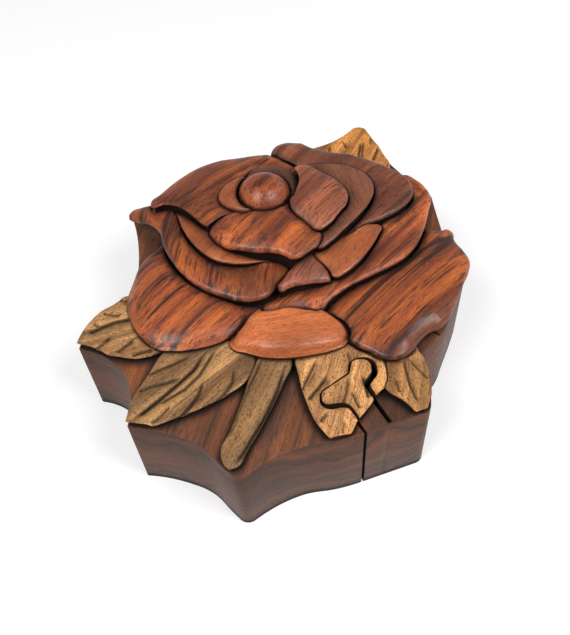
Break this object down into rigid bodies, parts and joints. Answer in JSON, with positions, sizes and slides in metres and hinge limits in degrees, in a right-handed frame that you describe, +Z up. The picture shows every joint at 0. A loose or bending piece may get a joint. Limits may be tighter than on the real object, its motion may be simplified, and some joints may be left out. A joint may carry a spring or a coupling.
{
  "type": "wooden puzzle box",
  "caption": "Hand-cut wooden box with scalloped upright walls, a layered rose on its lift-off lid, leaves around it, a felt-lined oval compartment and a lift-out jigsaw key.",
  "frame": {"origin": "middle of the footprint's bounding box, on the table", "axes": "+Z up out of the lid, +Y from the key side to the back leaf, +X to the right seen from the key side"},
  "size_m": [0.1501, 0.1662, 0.0624],
  "materials": {
    "block_wood": "satin oiled dark rosewood",
    "strip_wood": "dark glue line",
    "leaf_wood": "satin open-pored tan wood",
    "petal_wood": "satin striped red-brown rosewood",
    "bright_petal_wood": "satin orange-brown rosewood",
    "felt": "flocked felt"
  },
  "bodies": {
    "base": {"box_body": "block_wood", "kerf_strip": "strip_wood", "bottom_board": "block_wood", "floor_felt": "felt", "wall_felt": "felt", "left_leaf": "leaf_wood", "front_left_leaf": "leaf_wood", "front_leaf": "leaf_wood", "key_leaf": "leaf_wood", "right_leaf": "leaf_wood", "back_leaf": "leaf_wood"},
    "lid": {"lid_board": "block_wood", "lid_plug": "block_wood", "lid_felt": "felt", "bud": "petal_wood", "small_crescent_petal": "bright_petal_wood", "inner_right_petal": "petal_wood", "front_inner_petal": "petal_wood", "back_left_petal": "petal_wood", "bud_collar": "petal_wood", "left_crescent_petal": "bright_petal_wood", "middle_right_petal": "petal_wood", "back_right_petal": "petal_wood", "small_triangle_petal": "petal_wood", "right_crescent_petal": "bright_petal_wood", "second_left_petal": "petal_wood", "right_petal": "petal_wood", "outer_left_petal": "petal_wood", "front_petal": "bright_petal_wood", "outer_right_petal": "petal_wood"},
    "key": {"key_block": "block_wood", "key_leaf_cap": "leaf_wood"}
  },
  "joints": [
    {"name": "lid_lift", "type": "slide", "parent": "base", "child": "lid", "axis": [0, 0, 1], "range_m": [0, 0.06]},
    {"name": "key_lift", "type": "slide", "parent": "base", "child": "key", "axis": [0, 0, 1], "range_m": [0, 0.055]}
  ]
}
